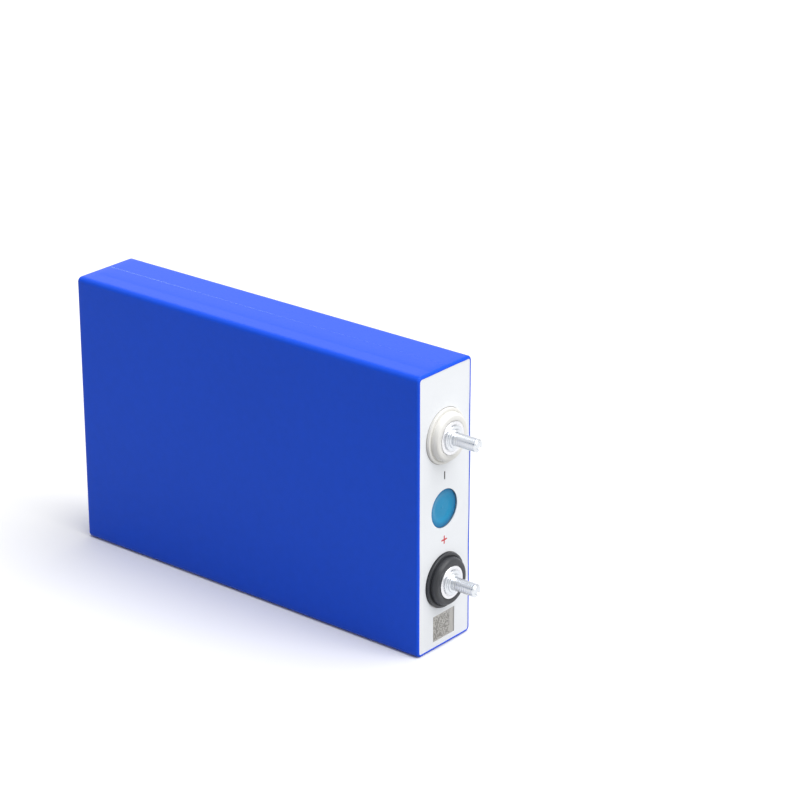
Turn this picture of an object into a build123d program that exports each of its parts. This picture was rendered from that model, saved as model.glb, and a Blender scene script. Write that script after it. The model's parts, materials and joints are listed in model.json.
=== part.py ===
"""Prismatic lithium cell with two M6 stud terminals, resting on one of its narrow sides.

Row frame: +X points out of the terminal face, Y runs through the cell's thickness and +Z is up.
The origin is the centre of the whole part's footprint, at the surface that it rests on.
All sizes are in millimetres.
"""

import os

from build123d import *

# Outside of the wrapped cell
cell_thickness = 36.35
cell_width = 130.3
body_length = 200.5
edge_radius = 2.5

# Blue wrapping film
film = 0.15
lip_radius = 1.1
lip_overlap = 0.15
base_edge_radius = 1.5
seam_offset = 1.5
seam_overlap = 10.0
seam_ramp = 0.1
flap_reach = 24.0

# Can and lid
base_patch_thickness = 0.3
base_patch_inset = 2.0
can_wall = 0.8
can_floor = 1.5
lid_flange = 1.4
lid_step = 0.8
lid_fit = 0.05
sheet = 0.3

# Terminals, with the heights measured from the film's lip
terminal_spacing = 67.5
seat_flange_radius = 12.5
seat_flange_height = 1.15
seat_flange_round = 0.35
seat_body_radius = 10.95
seat_shoulder = 2.1
seat_height = 4.2
seat_hole_clearance = 0.3
cap_radius = 7.5
cap_height = 4.5
cap_chamfer = 0.35
cap_seat_depth = 2.65
stud_base_radius = 5.6
stud_base_height = 5.2
stud_sink = 0.5
stud_boss_radius = 4.2
stud_boss_height = 6.3
stud_boss_round = 0.4
stud_radius = 2.95
stud_chamfer = 0.7
stud_height = 18.1
stud_dimple_radius = 1.3
stud_dimple_depth = 0.5
pole_radius = 4.2
pole_flange_radius = 8.0
pole_flange_thickness = 1.5
gasket_neck_radius = 5.5
gasket_flange_thickness = 1.0
running_fit = 0.05

# Lower insulators and current collectors
insulator_thickness_y = 30.0
insulator_width_z = 44.0
peg_radius = 1.5
peg_height = 0.9
peg_y = 11.0
peg_z = 13.0
collector_thickness = 1.0
collector_y = 24.0
collector_z = 38.0
tab_thickness = 0.8
tab_width = 26.0
tab_bend = 1.4
tab_reach = 5.5
tab_rise = 7.0
tab_root = 3.0
weld_tape = 0.1

# Vent and filling port
vent_radius = 8.9
vent_hole_radius = 7.4
vent_recess = 1.0
vent_disc_thickness = 0.3
vent_film_thickness = 0.15
vent_rim = 1.5
vent_dish_depth = 0.55
vent_flat_radius = 4.6
vent_nub_radius = 0.5
vent_nub_height = 0.15
grille_z = 22.0
grille_thickness = 1.5
grille_slots = 5
grille_slot_pitch = 3.0
grille_slot_width = 1.6
port_z = 15.2
port_radius = 1.5
port_recess_radius = 3.5
port_recess_depth = 0.8

# Window in the lid sheet over the cell's code
window_y = 14.8
window_z = 12.3
window_offset = -55.3

# Wound core
bag = 0.15
bag_gap = 0.2
bag_collar = 4.0
support_thickness = 1.0
support_holes = 7
support_hole_radius = 2.0
support_hole_pitch = 17.0
roll_gap = 0.2
roll_clearance = 0.1
separator = 0.15
roll_turns = 5
anode_inset = 1.0
cathode_inset = 2.0
end_tape = 0.08
end_tape_width = 14.0
end_tape_inset = 6.0

# Places along the cell, worked out from the sizes above
base_x = -(body_length + stud_height) / 2
lip_x = base_x + body_length
lid_x = lip_x - film - sheet
rim_x = lid_x - lid_flange
step_x = rim_x - lid_step
can_x = base_x + 2 * film + base_patch_thickness
floor_x = can_x + can_floor
pole_x = step_x - gasket_flange_thickness - pole_flange_thickness
collector_x = pole_x - collector_thickness
tab_x = collector_x - tab_thickness
roll_top_x = tab_x - tab_rise
bag_x = floor_x + support_thickness
roll_base_x = bag_x + bag + roll_clearance
cap_x = lid_x + cap_seat_depth - film - sheet
cap_top_x = lip_x + cap_height
stud_base_x = cap_top_x - stud_sink
mid_z = cell_width / 2

# Insets from the wrapped cell's outer faces
can_inset = film
cavity_inset = film + can_wall
bag_inset = cavity_inset + bag_gap
sheet_inset = lip_radius
opening_inset = lip_radius + lip_overlap

# Wound rolls
bag_inner_y = cell_thickness - 2 * (bag_inset + bag)
bag_inner_z = cell_width - 2 * (bag_inset + bag)
roll_radius = (bag_inner_y - roll_gap - 2 * roll_clearance) / 4
roll_y = roll_radius + roll_gap / 2
roll_straight = bag_inner_z - 2 * roll_clearance - 2 * roll_radius
turn_pitch = (roll_radius - tab_thickness / 2) / roll_turns
electrode = turn_pitch / 2 - separator

terminals = {"negative": mid_z + terminal_spacing / 2, "positive": mid_z - terminal_spacing / 2}
rolls = {"front": -roll_y, "back": roll_y}


def section(x, y=0.0, z=mid_z):
    """Plane across the cell: its own x runs along Y, its own y along Z, and it faces +X."""
    return Plane(origin=(x, y, z), x_dir=(0, 1, 0), z_dir=(1, 0, 0))


def turning(z):
    """Plane through a terminal's axis: its own x runs along X and its own y is the radius."""
    return Plane(origin=(0, 0, z), x_dir=(1, 0, 0), z_dir=(0, -1, 0))


def turn(z):
    """Revolves the pending profile about the axis parallel to X at height z."""
    revolve(axis=Axis((0, 0, z), (1, 0, 0)), revolution_arc=360)


def rounded_section(inset):
    """The cell's cross-section, drawn in by inset from its outer faces."""
    RectangleRounded(cell_thickness - 2 * inset, cell_width - 2 * inset, edge_radius - inset)


def end_edges(part, x):
    """The edges of a part that lie in the plane at x."""
    return part.edges().filter_by_position(Axis.X, x - 0.001, x + 0.001)


def save(piece, node):
    """Labels a finished piece and writes it as a STEP file named after its node."""
    piece.part.label = node
    export_step(piece.part, f"parts/{node}.step")


os.makedirs("parts", exist_ok=True)


# ---------------------------------------------------------------- film and base patch
with BuildPart() as film_inside:
    with BuildSketch(section(base_x + 2 * film)):
        rounded_section(film)
    extrude(amount=lip_x - film - (base_x + 2 * film))
    fillet(end_edges(film_inside.part, base_x + 2 * film), base_edge_radius - film)
    fillet(end_edges(film_inside.part, lip_x - film), lip_radius - film)

with BuildPart() as film_wrap:
    with BuildSketch(section(base_x + film)):
        rounded_section(0)
    extrude(amount=body_length - film)
    fillet(end_edges(film_wrap.part, base_x + film), base_edge_radius)
    fillet(end_edges(film_wrap.part, lip_x), lip_radius)
    add(film_inside.part, mode=Mode.SUBTRACT)
    # opening in the rolled lip, over the lid sheet
    with BuildSketch(section(lip_x - film)):
        rounded_section(opening_inset)
    extrude(amount=film, mode=Mode.SUBTRACT)
    # overlapping seam along the upper narrow side, with a ramp where it climbs on the layer below
    with BuildSketch(section(base_x + film + base_edge_radius, seam_offset, cell_width)):
        with BuildLine():
            Polyline(
                (0, 0), (0, film), (seam_ramp - seam_overlap, film), (-seam_overlap, 0), close=True
            )
        make_face()
    extrude(amount=lip_x - lip_radius - (base_x + film + base_edge_radius))
    # outer fold of the base, with mitred ends
    with BuildSketch(section(base_x, -cell_thickness / 2 + base_edge_radius)):
        fold_z = cell_width / 2 - base_edge_radius
        with BuildLine():
            Polyline(
                (0, -fold_z),
                (flap_reach, -fold_z + flap_reach),
                (flap_reach, fold_z - flap_reach),
                (0, fold_z),
                close=True,
            )
        make_face()
    extrude(amount=film)
save(film_wrap, "film_wrap")

with BuildPart() as base_patch:
    with BuildSketch(section(base_x + 2 * film)):
        rounded_section(base_patch_inset)
    extrude(amount=base_patch_thickness)
save(base_patch, "base_patch")


# ---------------------------------------------------------------- can
with BuildPart() as can:
    with BuildSketch(section(can_x)):
        rounded_section(can_inset)
    extrude(amount=rim_x - can_x)
    fillet(end_edges(can.part, can_x), base_edge_radius - film)
    with BuildSketch(section(floor_x)):
        rounded_section(cavity_inset)
    extrude(amount=rim_x - floor_x, mode=Mode.SUBTRACT)
save(can, "can")


# ---------------------------------------------------------------- lid
with BuildPart() as lid:
    with BuildSketch(section(rim_x)):
        rounded_section(can_inset)
    extrude(amount=lid_flange)
    fillet(end_edges(lid.part, lid_x), lip_radius - film)
    with BuildSketch(section(step_x)):
        rounded_section(cavity_inset + lid_fit)
    extrude(amount=lid_step)
    # pole holes
    for terminal_z in terminals.values():
        with BuildSketch(section(step_x, 0, terminal_z)):
            Circle(gasket_neck_radius + running_fit)
        extrude(amount=lid_x - step_x, mode=Mode.SUBTRACT)
        # blind holes for the insulators' pegs
        with BuildSketch(section(step_x, 0, terminal_z)):
            with GridLocations(2 * peg_y, 2 * peg_z, 2, 2):
                Circle(peg_radius + running_fit)
        extrude(amount=peg_height + running_fit, mode=Mode.SUBTRACT)
    # vent opening with the ledge that the burst disc is welded to
    with BuildSketch(section(step_x)):
        Circle(vent_hole_radius)
    extrude(amount=lid_x - step_x, mode=Mode.SUBTRACT)
    with BuildSketch(section(lid_x)):
        Circle(vent_radius)
    extrude(amount=-vent_recess, mode=Mode.SUBTRACT)
    # filling port with a recess for its welded cap
    with BuildSketch(section(step_x, 0, mid_z + port_z)):
        Circle(port_radius)
    extrude(amount=lid_x - step_x, mode=Mode.SUBTRACT)
    with BuildSketch(section(lid_x, 0, mid_z + port_z)):
        Circle(port_recess_radius)
    extrude(amount=-port_recess_depth, mode=Mode.SUBTRACT)
save(lid, "lid")

with BuildPart() as lid_sheet:
    with BuildSketch(section(lid_x)):
        rounded_section(sheet_inset)
        with Locations((0, terminal_spacing / 2), (0, -terminal_spacing / 2)):
            Circle(seat_flange_radius + seat_hole_clearance, mode=Mode.SUBTRACT)
        Circle(vent_radius, mode=Mode.SUBTRACT)
        with Locations((0, window_offset)):
            Rectangle(window_y, window_z, mode=Mode.SUBTRACT)
    extrude(amount=sheet)
save(lid_sheet, "lid_sheet")


# ---------------------------------------------------------------- vent
ledge_x = lid_x - vent_recess
dishes = {
    "vent_disc": (ledge_x, ledge_x + vent_disc_thickness),
    "vent_film": (
        ledge_x + vent_disc_thickness,
        ledge_x + vent_disc_thickness + vent_film_thickness,
    ),
}

# round sheets, flat at the rim, sinking to a flat floor with a nub at its centre
for node, faces in dishes.items():
    with BuildPart() as dished_sheet:
        with BuildSketch(turning(mid_z)):
            with BuildLine():
                rim_radius = vent_radius - running_fit
                ends = []
                for x in faces:
                    floor_depth_x = x - vent_dish_depth
                    nub = Spline(
                        (floor_depth_x + vent_nub_height, 0),
                        (floor_depth_x, vent_nub_radius),
                        tangents=[(0, 1), (0, 1)],
                    )
                    floor = Line(nub @ 1, (floor_depth_x, vent_flat_radius))
                    slope = Spline(
                        floor @ 1, (x, rim_radius - vent_rim), tangents=[(0, 1), (0, 1)]
                    )
                    rim = Line(slope @ 1, (x, rim_radius))
                    ends.append((nub @ 0, rim @ 1))
                Line(ends[0][0], ends[1][0])
                Line(ends[0][1], ends[1][1])
            make_face()
        turn(mid_z)
    save(dished_sheet, node)

with BuildPart() as vent_grille:
    with BuildSketch(section(step_x)):
        Rectangle(insulator_thickness_y, grille_z)
        with GridLocations(grille_slot_pitch, 0, grille_slots, 1):
            SlotOverall(2 * vent_hole_radius, grille_slot_width, rotation=90, mode=Mode.SUBTRACT)
    extrude(amount=-grille_thickness)
save(vent_grille, "vent_grille")


# ---------------------------------------------------------------- filling port
port_floor_x = lid_x - port_recess_depth

with BuildPart() as fill_plug:
    with BuildSketch(section(step_x, 0, mid_z + port_z)):
        Circle(port_radius)
    extrude(amount=port_floor_x - step_x)
save(fill_plug, "fill_plug")

with BuildPart() as fill_cap:
    with BuildSketch(section(port_floor_x, 0, mid_z + port_z)):
        Circle(port_recess_radius - running_fit)
    extrude(amount=port_recess_depth)
save(fill_cap, "fill_cap")


# ---------------------------------------------------------------- terminals
for polarity, terminal_z in terminals.items():
    # stepped plastic seat, clamped on the lid and holding the cap
    with BuildPart() as seat:
        with BuildSketch(turning(terminal_z)):
            with BuildLine():
                flange_x = lip_x + seat_flange_height
                bore = pole_radius + running_fit
                pocket = cap_radius + running_fit
                outer = Line((lid_x, bore), (lid_x, seat_flange_radius))
                side = Line(outer @ 1, (flange_x - seat_flange_round, seat_flange_radius))
                edge = JernArc(side @ 1, (1, 0), seat_flange_round, -90)
                ledge = Line(edge @ 1, (flange_x, seat_body_radius))
                wall = Line(ledge @ 1, (lip_x + seat_height - seat_shoulder, seat_body_radius))
                shoulder = JernArc(wall @ 1, (1, 0), seat_shoulder, -90)
                Polyline(
                    shoulder @ 1,
                    (lip_x + seat_height, pocket),
                    (cap_x, pocket),
                    (cap_x, bore),
                    outer @ 0,
                )
            make_face()
        turn(terminal_z)
    save(seat, f"{polarity}_seat")

    # cap ring riveted over the pole, with a recess for the stud's base
    with BuildPart() as cap:
        with BuildSketch(turning(terminal_z)):
            with BuildLine():
                Polyline(
                    (cap_x, pole_radius + running_fit),
                    (cap_x, cap_radius),
                    (cap_top_x - cap_chamfer, cap_radius),
                    (cap_top_x, cap_radius - cap_chamfer),
                    (cap_top_x, stud_base_radius + running_fit),
                    (stud_base_x, stud_base_radius + running_fit),
                    (stud_base_x, pole_radius + running_fit),
                    close=True,
                )
            make_face()
        turn(terminal_z)
    save(cap, f"{polarity}_cap")

    # pole: a flange inside the lid and a shank that reaches the stud's base
    with BuildPart() as pole:
        with BuildSketch(section(pole_x, 0, terminal_z)):
            Circle(pole_flange_radius)
        extrude(amount=pole_flange_thickness)
        with BuildSketch(section(pole_x, 0, terminal_z)):
            Circle(pole_radius)
        extrude(amount=stud_base_x - pole_x)
    save(pole, f"{polarity}_pole")

    # sealing gasket with a neck through the lid
    with BuildPart() as gasket:
        with BuildSketch(section(step_x - gasket_flange_thickness, 0, terminal_z)):
            Circle(pole_flange_radius)
        extrude(amount=gasket_flange_thickness)
        with BuildSketch(section(step_x, 0, terminal_z)):
            Circle(gasket_neck_radius)
        extrude(amount=lid_x - step_x)
        with BuildSketch(section(step_x - gasket_flange_thickness, 0, terminal_z)):
            Circle(pole_radius + running_fit)
        extrude(amount=lid_x - step_x + gasket_flange_thickness, mode=Mode.SUBTRACT)
    save(gasket, f"{polarity}_gasket")

    # stud with a stepped welded base; its shank is the envelope of the M6 thread
    with BuildPart() as stud:
        with BuildSketch(turning(terminal_z)):
            with BuildLine():
                boss_x = lip_x + stud_boss_height
                tip_x = lip_x + stud_height
                foot = Polyline(
                    (stud_base_x, 0),
                    (stud_base_x, stud_base_radius),
                    (lip_x + stud_base_height, stud_base_radius),
                    (lip_x + stud_base_height, stud_boss_radius),
                    (boss_x - stud_boss_round, stud_boss_radius),
                )
                boss = JernArc(foot @ 1, (1, 0), stud_boss_round, -90)
                Polyline(
                    boss @ 1,
                    (boss_x, stud_radius),
                    (tip_x - stud_chamfer, stud_radius),
                    (tip_x, stud_radius - stud_chamfer),
                    (tip_x, stud_dimple_radius),
                    (tip_x - stud_dimple_depth, 0),
                    foot @ 0,
                )
            make_face()
        turn(terminal_z)
    save(stud, f"{polarity}_stud")

    # lower insulator, pegged into the lid's underside
    with BuildPart() as insulator:
        with BuildSketch(section(step_x, 0, terminal_z)):
            Rectangle(insulator_thickness_y, insulator_width_z)
            Circle(pole_flange_radius + running_fit, mode=Mode.SUBTRACT)
            if polarity == "negative":
                with Locations((0, port_z - terminal_spacing / 2)):
                    Circle(port_radius + running_fit, mode=Mode.SUBTRACT)
        extrude(amount=pole_x - step_x)
        with BuildSketch(section(step_x, 0, terminal_z)):
            with GridLocations(2 * peg_y, 2 * peg_z, 2, 2):
                Circle(peg_radius)
        extrude(amount=peg_height)
    save(insulator, f"{polarity}_lower_insulator")

    # collector plate, welded under the pole's flange
    with BuildPart() as collector:
        with BuildSketch(section(collector_x, 0, terminal_z)):
            Rectangle(collector_y, collector_z)
        extrude(amount=collector_thickness)
    save(collector, f"{polarity}_collector")

    # a bundle of foil tabs from each roll, bent inwards under the collector
    with BuildPart() as tabs:
        for side in (-1, 1):
            with BuildSketch(Plane.XY.offset(terminal_z - tab_width / 2)):
                with BuildLine():
                    root_x = roll_top_x - tab_root
                    outer_y = side * (roll_y + tab_thickness / 2)
                    outer_bend = tab_bend + tab_thickness
                    up = Line((root_x, outer_y), (collector_x - outer_bend, outer_y))
                    over = JernArc(up @ 1, (1, 0), outer_bend, -90 * side)
                    flat = Line(over @ 1, (collector_x, side * (roll_y - tab_reach)))
                    end = Line(flat @ 1, (tab_x, side * (roll_y - tab_reach)))
                    inner_y = side * (roll_y - tab_thickness / 2)
                    under = Line(end @ 1, (tab_x, inner_y - side * tab_bend))
                    back = JernArc(under @ 1, (0, side), tab_bend, 90 * side)
                    down = Line(back @ 1, (root_x, inner_y))
                    Line(down @ 1, up @ 0)
                make_face()
            extrude(amount=tab_width)
    save(tabs, f"{polarity}_tab_foils")

    # tape over the welds of both bundles
    with BuildPart() as tape:
        with BuildSketch(section(tab_x, 0, terminal_z)):
            Rectangle(2 * (roll_y - tab_thickness / 2 - tab_bend), tab_width)
        extrude(amount=-weld_tape)
    save(tape, f"{polarity}_weld_tape")


# ---------------------------------------------------------------- wound core
# for each layer: its depths within one turn, its thickness, and how far its ends stand back
layers = {
    "separator": ((0, separator + electrode), separator, 0),
    "anode": ((separator,), electrode, anode_inset),
    "cathode": ((2 * separator + electrode,), electrode, cathode_inset),
}

for place, y in rolls.items():
    for layer, (depths, thickness, inset) in layers.items():
        with BuildPart() as winding:
            for turn_number in range(roll_turns):
                for depth in depths:
                    outer = roll_radius - turn_number * turn_pitch - depth
                    with BuildSketch(section(roll_base_x + inset, y)):
                        SlotCenterToCenter(roll_straight, 2 * outer, rotation=90)
                        SlotCenterToCenter(
                            roll_straight,
                            2 * (outer - thickness),
                            rotation=90,
                            mode=Mode.SUBTRACT,
                        )
                    extrude(amount=roll_top_x - roll_base_x - 2 * inset)
        save(winding, f"{place}_roll_{layer}")

with BuildPart() as end_tapes:
    for side in (-1, 1):
        with BuildSketch(Plane.XZ.offset(-side * (roll_y + roll_radius))):
            with Locations(((roll_base_x + roll_top_x) / 2, mid_z)):
                Rectangle(roll_top_x - roll_base_x - 2 * end_tape_inset, end_tape_width)
        extrude(amount=-side * end_tape)
save(end_tapes, "roll_end_tapes")

with BuildPart() as core_bag:
    with BuildSketch(section(bag_x)):
        rounded_section(bag_inset)
    extrude(amount=roll_top_x + bag_collar - bag_x)
    with BuildSketch(section(bag_x + bag)):
        rounded_section(bag_inset + bag)
    extrude(amount=roll_top_x + bag_collar - bag_x - bag, mode=Mode.SUBTRACT)
save(core_bag, "core_bag")

with BuildPart() as base_support:
    with BuildSketch(section(floor_x)):
        rounded_section(bag_inset)
        with GridLocations(support_hole_pitch, support_hole_pitch, 2, support_holes):
            Circle(support_hole_radius, mode=Mode.SUBTRACT)
    extrude(amount=support_thickness)
save(base_support, "base_support")
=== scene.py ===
"""Studio scene of a blue-wrapped prismatic lithium cell with two stud terminals."""

import bpy
import json
import math
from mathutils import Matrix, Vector


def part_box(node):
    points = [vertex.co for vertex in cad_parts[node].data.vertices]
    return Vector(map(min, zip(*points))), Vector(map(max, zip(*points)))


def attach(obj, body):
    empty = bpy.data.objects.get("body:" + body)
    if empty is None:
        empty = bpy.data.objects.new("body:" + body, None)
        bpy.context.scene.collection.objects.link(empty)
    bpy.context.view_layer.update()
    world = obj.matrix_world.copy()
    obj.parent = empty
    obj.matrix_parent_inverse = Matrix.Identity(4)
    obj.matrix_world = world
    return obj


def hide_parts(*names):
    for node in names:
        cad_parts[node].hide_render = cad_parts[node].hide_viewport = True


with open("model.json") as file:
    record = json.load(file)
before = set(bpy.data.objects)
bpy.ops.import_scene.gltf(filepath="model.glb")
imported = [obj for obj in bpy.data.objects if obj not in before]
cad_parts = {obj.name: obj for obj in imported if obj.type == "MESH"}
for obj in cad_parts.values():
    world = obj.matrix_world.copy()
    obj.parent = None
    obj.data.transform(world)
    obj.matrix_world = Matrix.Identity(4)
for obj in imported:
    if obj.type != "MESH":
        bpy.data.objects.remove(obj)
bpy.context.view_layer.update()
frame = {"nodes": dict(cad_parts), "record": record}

MM = 0.001

# ---------------------------------------------------------------- places read from the frame
film_low, film_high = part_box("film_wrap")
sheet_low, sheet_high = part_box("lid_sheet")
FILM = 0.15 * MM
BASE_X = film_low[0]
LIP_X = film_high[0]
HALF_T = film_high[1]
WIDTH = film_high[2] - FILM
MID_Z = WIDTH / 2
SHEET_X = sheet_high[0]
LID_X = sheet_low[0]


def middle(node, axis):
    """Middle of a node's box along one axis."""
    low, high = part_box(node)
    return (low[axis] + high[axis]) / 2


TERMINALS = {"negative": middle("negative_stud", 2), "positive": middle("positive_stud", 2)}
CORNER = 2.5 * MM
BASE_FOLD = 1.5 * MM
LIP_ROUND = 1.1 * MM
LIP_OVERLAP = 0.15 * MM

# the seam: its free edge, its far edge and the width of its step
SEAM_Y = 1.5 * MM
SEAM_TAIL_Y = -8.5 * MM
SEAM_STEP = 0.03 * MM
SEAM_LEVEL = 0.25 * MM

# terminal sizes, with heights measured from the film's lip
SEAT_RADIUS = 12.5 * MM
SEAT_FLANGE_HEIGHT = 1.15 * MM
SEAT_HEIGHT = 4.2 * MM
SEAT_BORE = 4.3 * MM
SEAT_POCKET = 7.56 * MM
CAP_RADIUS = 7.5 * MM
CAP_BORE = 4.28 * MM
CAP_RECESS = 5.66 * MM
FOOT_RADIUS = 5.6 * MM
FOOT_HEIGHT = 5.2 * MM
BOSS_RADIUS = 4.2 * MM
BOSS_HEIGHT = 6.3 * MM
STUD_RADIUS = 2.95 * MM
STUD_CHAMFER = 0.7 * MM
THREAD_PITCH = 1.0 * MM
THREAD_DEPTH = 0.06 * MM

# vent film
VENT_DEPTH = 0.55 * MM
VENT_NUB = 0.75 * MM
VENT_FLAT = 4.3 * MM
VENT_SLOPE = 3.4 * MM
VENT_RIM = 8.2 * MM

# printed marks and window
MINUS_FROM_NEGATIVE = 18.3 * MM
PLUS_FROM_POSITIVE = 19.0 * MM
MARK_LENGTH = 3.7 * MM
MARK_STROKE = 0.7 * MM
WINDOW_FROM_MIDDLE = 55.3 * MM


# ---------------------------------------------------------------- mesh helpers
def make_piece(name, points, faces, material, sharp_angle=None):
    """A mesh object in the row frame, shaded smooth apart from edges over the sharp angle."""
    mesh = bpy.data.meshes.new(name)
    mesh.from_pydata([tuple(p) for p in points], [], faces)
    mesh.validate()
    mesh.shade_smooth()
    if sharp_angle is not None:
        mesh.set_sharp_from_angle(angle=math.radians(sharp_angle))
    mesh.materials.append(material)
    piece = bpy.data.objects.new(name, mesh)
    bpy.context.scene.collection.objects.link(piece)
    return piece


def finish_piece(piece, slot, *nodes):
    """Rides a piece on the one body and hides the nodes it replaces; its slot is not used."""
    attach(piece, "root")
    if nodes:
        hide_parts(*nodes)


def eased(corners, steps=6):
    """A profile with each corner (x, radius, ease) rounded by its ease, as a list of points."""
    profile = []
    count = len(corners)
    for i, (x, r, ease) in enumerate(corners):
        here = Vector((x, r))
        if ease == 0 or i in (0, count - 1):
            profile.append(here)
            continue
        before = Vector(corners[i - 1][:2]) - here
        after = Vector(corners[i + 1][:2]) - here
        start = here + before.normalized() * min(ease, before.length * 0.49)
        end = here + after.normalized() * min(ease, after.length * 0.49)
        for step in range(steps + 1):
            t = step / steps
            profile.append(start * (1 - t) ** 2 + here * 2 * t * (1 - t) + end * t ** 2)
    return profile


def turned(name, corners, centre_z, material, segments=128, sharp_angle=35, steps=6):
    """A solid turned about an axis parallel to X. Corners run from the back to the front."""
    profile = eased(corners, steps)
    points = []
    rings = []
    for point in profile:
        x, radius = point
        if radius < 1e-7:
            rings.append([len(points)])
            points.append((x, 0, centre_z))
            continue
        ring = []
        for k in range(segments):
            angle = 2 * math.pi * k / segments
            ring.append(len(points))
            points.append((x, radius * math.cos(angle), centre_z + radius * math.sin(angle)))
        rings.append(ring)
    faces = []
    pairs = list(zip(rings, rings[1:]))
    if len(rings[0]) > 1:
        pairs.append((rings[-1], rings[0]))
    for back, front in pairs:
        for k in range(segments):
            n = (k + 1) % segments
            if len(back) == 1:
                faces.append((back[0], front[n], front[k]))
            elif len(front) == 1:
                faces.append((back[k], back[n], front[0]))
            else:
                faces.append((back[k], back[n], front[n], front[k]))
    piece = make_piece(name, points, faces, material, sharp_angle)
    return piece


# ---------------------------------------------------------------- shader groups
def new_group(name, inputs, outputs):
    """An empty shader group with float, vector or colour sockets."""
    group = bpy.data.node_groups.new(name, "ShaderNodeTree")
    for socket_name, kind, value in inputs:
        socket = group.interface.new_socket(name=socket_name, in_out="INPUT", socket_type=kind)
        if value is not None:
            socket.default_value = value
    for socket_name, kind in outputs:
        group.interface.new_socket(name=socket_name, in_out="OUTPUT", socket_type=kind)
    entry = group.nodes.new("NodeGroupInput")
    leave = group.nodes.new("NodeGroupOutput")
    return group, entry, leave


def noise(tree, scale, detail=3.0, roughness=0.5, distortion=0.0):
    """A noise texture node with its sizes set."""
    node = tree.nodes.new("ShaderNodeTexNoise")
    node.inputs["Scale"].default_value = scale
    node.inputs["Detail"].default_value = detail
    node.inputs["Roughness"].default_value = roughness
    node.inputs["Distortion"].default_value = distortion
    return node


def math_node(tree, operation, first=None, second=None, clamp=False):
    """A math node with plain numbers or links on its inputs."""
    node = tree.nodes.new("ShaderNodeMath")
    node.operation = operation
    node.use_clamp = clamp
    for index, value in enumerate((first, second)):
        if value is None:
            continue
        if isinstance(value, (int, float)):
            node.inputs[index].default_value = value
        else:
            tree.links.new(value, node.inputs[index])
    return node


def map_range(tree, value, low, high, to_low, to_high):
    """A map range node fed by a link."""
    node = tree.nodes.new("ShaderNodeMapRange")
    node.inputs["From Min"].default_value = low
    node.inputs["From Max"].default_value = high
    node.inputs["To Min"].default_value = to_low
    node.inputs["To Max"].default_value = to_high
    tree.links.new(value, node.inputs["Value"])
    return node


def mix_colour(tree, factor, first, second, blend="MIX"):
    """A colour mix node whose inputs are links or plain colours."""
    node = tree.nodes.new("ShaderNodeMix")
    node.data_type = "RGBA"
    node.blend_type = blend
    for socket, value in ((node.inputs[0], factor), (node.inputs[6], first), (node.inputs[7], second)):
        if isinstance(value, (int, float, tuple)):
            socket.default_value = value
        else:
            tree.links.new(value, socket)
    return node


def build_mottle():
    """Soft cloudy variation of a colour and of a roughness, with fine specks."""
    group, entry, leave = new_group(
        "surface mottle",
        [
            ("Vector", "NodeSocketVector", None),
            ("Colour", "NodeSocketColor", (0.5, 0.5, 0.5, 1)),
            ("Cloud Scale", "NodeSocketFloat", 40.0),
            ("Speck Scale", "NodeSocketFloat", 900.0),
            ("Amount", "NodeSocketFloat", 0.1),
            ("Roughness", "NodeSocketFloat", 0.3),
            ("Roughness Spread", "NodeSocketFloat", 0.1),
        ],
        [("Colour", "NodeSocketColor"), ("Roughness", "NodeSocketFloat"), ("Clouds", "NodeSocketFloat")],
    )
    links = group.links
    clouds = noise(group, 40, 4, 0.55)
    specks = noise(group, 900, 2, 0.6)
    links.new(entry.outputs["Vector"], clouds.inputs["Vector"])
    links.new(entry.outputs["Vector"], specks.inputs["Vector"])
    links.new(entry.outputs["Cloud Scale"], clouds.inputs["Scale"])
    links.new(entry.outputs["Speck Scale"], specks.inputs["Scale"])
    both = math_node(group, "ADD", clouds.outputs["Fac"], specks.outputs["Fac"])
    centred = math_node(group, "SUBTRACT", both.outputs[0], 1.0)
    scaled = math_node(group, "MULTIPLY", centred.outputs[0], entry.outputs["Amount"])
    factor = math_node(group, "ADD", scaled.outputs[0], 1.0)
    tinted = group.nodes.new("ShaderNodeVectorMath")
    tinted.operation = "SCALE"
    links.new(entry.outputs["Colour"], tinted.inputs[0])
    links.new(factor.outputs[0], tinted.inputs["Scale"])
    links.new(tinted.outputs[0], leave.inputs["Colour"])
    spread = math_node(group, "MULTIPLY", centred.outputs[0], entry.outputs["Roughness Spread"])
    rough = math_node(group, "ADD", spread.outputs[0], entry.outputs["Roughness"], clamp=True)
    links.new(rough.outputs[0], leave.inputs["Roughness"])
    links.new(clouds.outputs["Fac"], leave.inputs["Clouds"])
    return group


def build_turning_marks():
    """Fine concentric lines about an axis parallel to X, as a lathe leaves them."""
    group, entry, leave = new_group(
        "turning marks",
        [
            ("Vector", "NodeSocketVector", None),
            ("Centre Z", "NodeSocketFloat", 0.0),
            ("Lines Per Metre", "NodeSocketFloat", 4000.0),
        ],
        [("Height", "NodeSocketFloat"), ("Radius", "NodeSocketFloat")],
    )
    links = group.links
    split = group.nodes.new("ShaderNodeSeparateXYZ")
    links.new(entry.outputs["Vector"], split.inputs[0])
    from_axis = math_node(group, "SUBTRACT", split.outputs["Z"], entry.outputs["Centre Z"])
    across = math_node(group, "POWER", split.outputs["Y"], 2.0)
    along = math_node(group, "POWER", from_axis.outputs[0], 2.0)
    total = math_node(group, "ADD", across.outputs[0], along.outputs[0])
    radius = math_node(group, "SQRT", total.outputs[0])
    slant = math_node(group, "ADD", radius.outputs[0], split.outputs["X"])
    lines = math_node(group, "MULTIPLY", slant.outputs[0], entry.outputs["Lines Per Metre"])
    place = group.nodes.new("ShaderNodeCombineXYZ")
    links.new(lines.outputs[0], place.inputs["X"])
    rings = noise(group, 1.0, 4, 0.7)
    links.new(place.outputs[0], rings.inputs["Vector"])
    links.new(rings.outputs["Fac"], leave.inputs["Height"])
    links.new(radius.outputs[0], leave.inputs["Radius"])
    return group


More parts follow.
